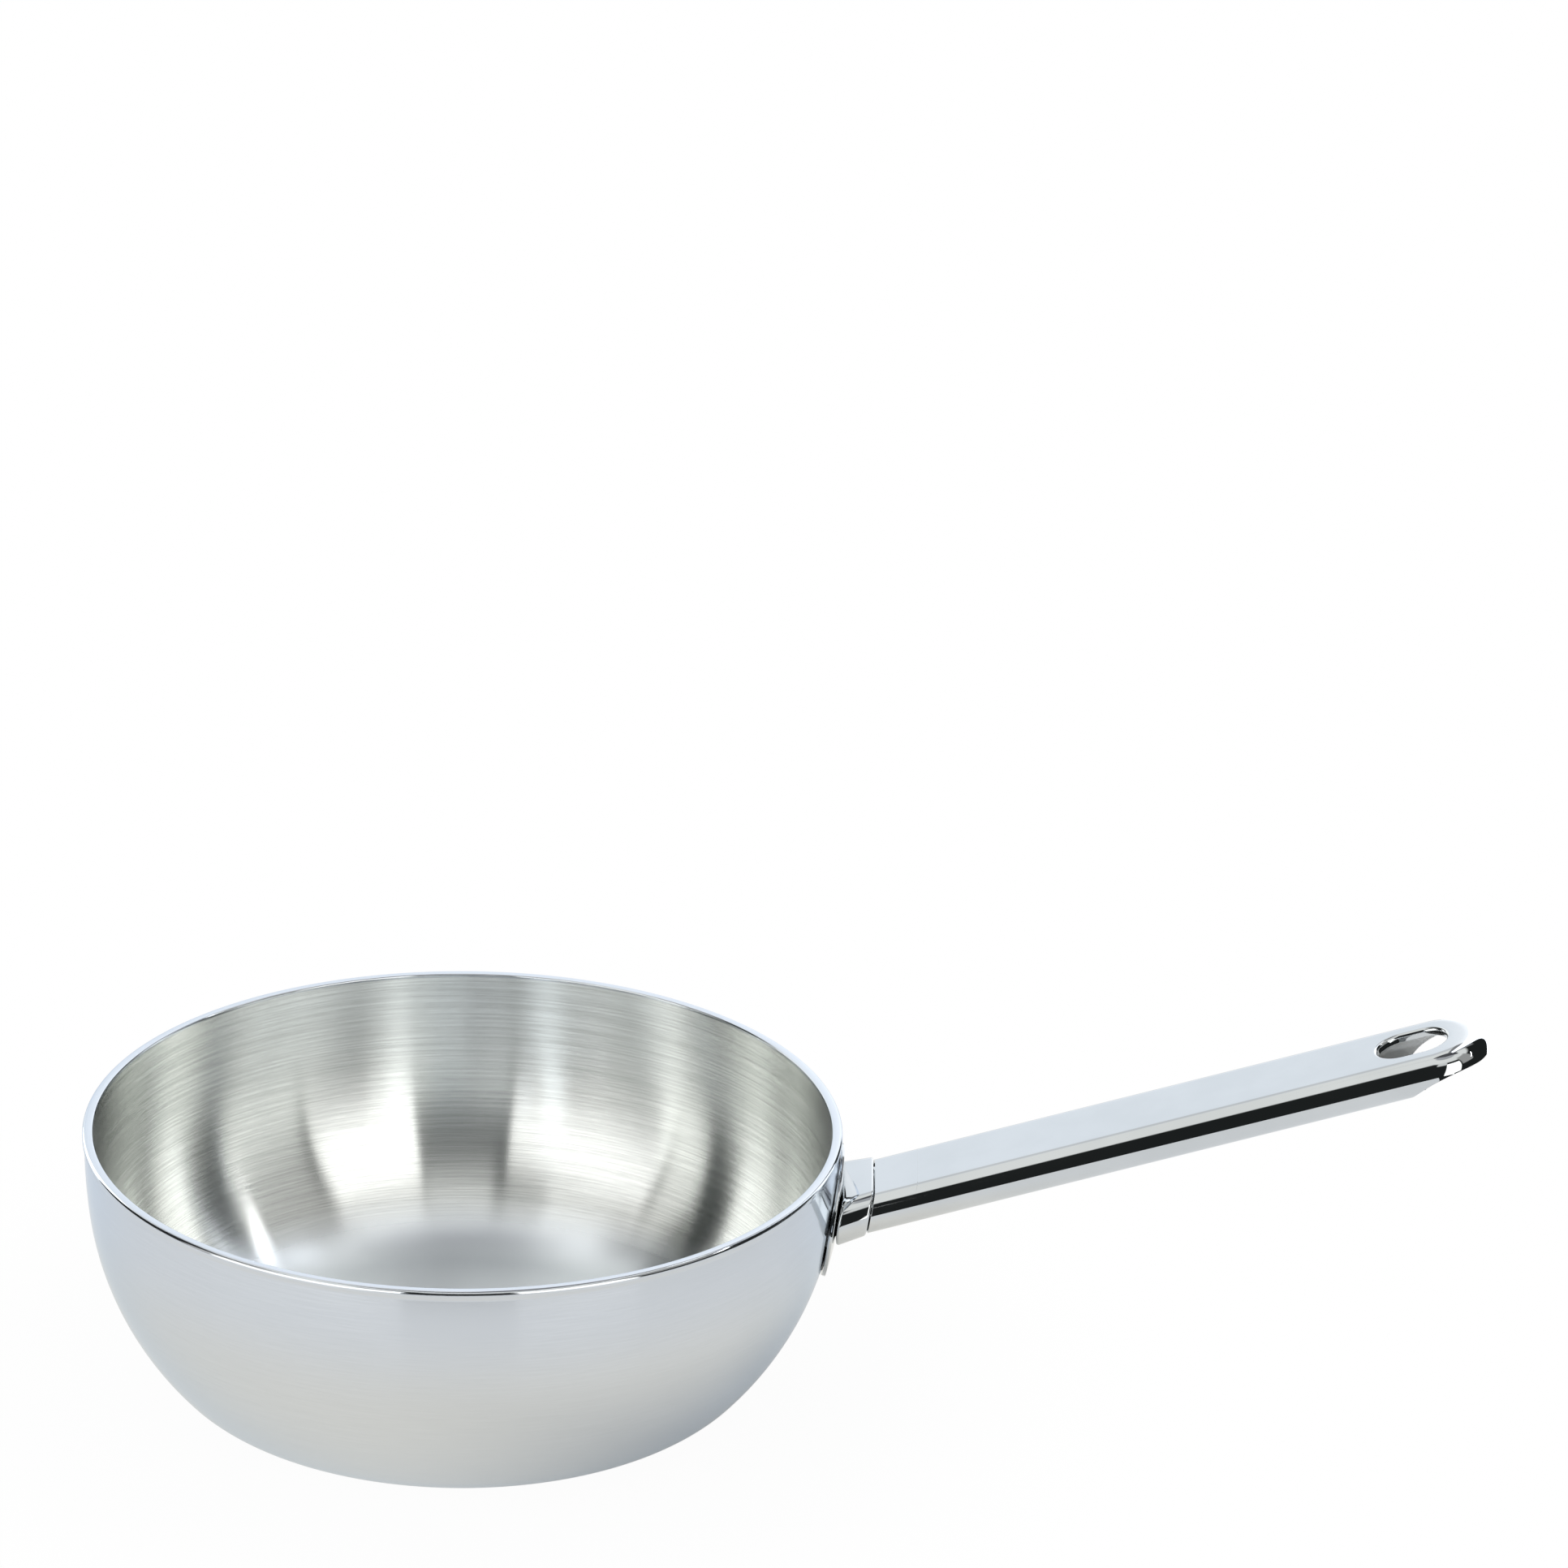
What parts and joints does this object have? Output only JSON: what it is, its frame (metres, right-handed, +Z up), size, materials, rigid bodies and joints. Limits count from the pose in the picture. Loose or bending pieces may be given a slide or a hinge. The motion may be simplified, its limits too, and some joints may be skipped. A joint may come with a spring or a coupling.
{
  "type": "saute pan",
  "caption": "Rounded saute pan with a brushed inside, a small rim lip and a welded flat tube handle with a hanging slot.",
  "frame": {"origin": "middle of the flat base, on the surface the pan stands on", "axes": "+Z up along the bowl's axis, +X along the handle, away from the bowl"},
  "size_m": [0.3686, 0.2, 0.104],
  "materials": {
    "satin_steel": "fine satin, close to a mirror",
    "brushed_steel": "brushed in rings round the bowl",
    "polished_steel": "mirror polished",
    "aluminium": "plain, hidden between the steel layers",
    "weld_steel": "matte, as left by the welder"
  },
  "bodies": {
    "root": {"outer_skin": "satin_steel", "inner_liner": "brushed_steel", "aluminium_core": "aluminium", "bracket_plate": "polished_steel", "spot_weld_1": "weld_steel", "spot_weld_2": "weld_steel", "spot_weld_3": "weld_steel", "spot_weld_4": "weld_steel", "handle_collar": "polished_steel", "handle_tube": "polished_steel"}
  },
  "joints": []
}
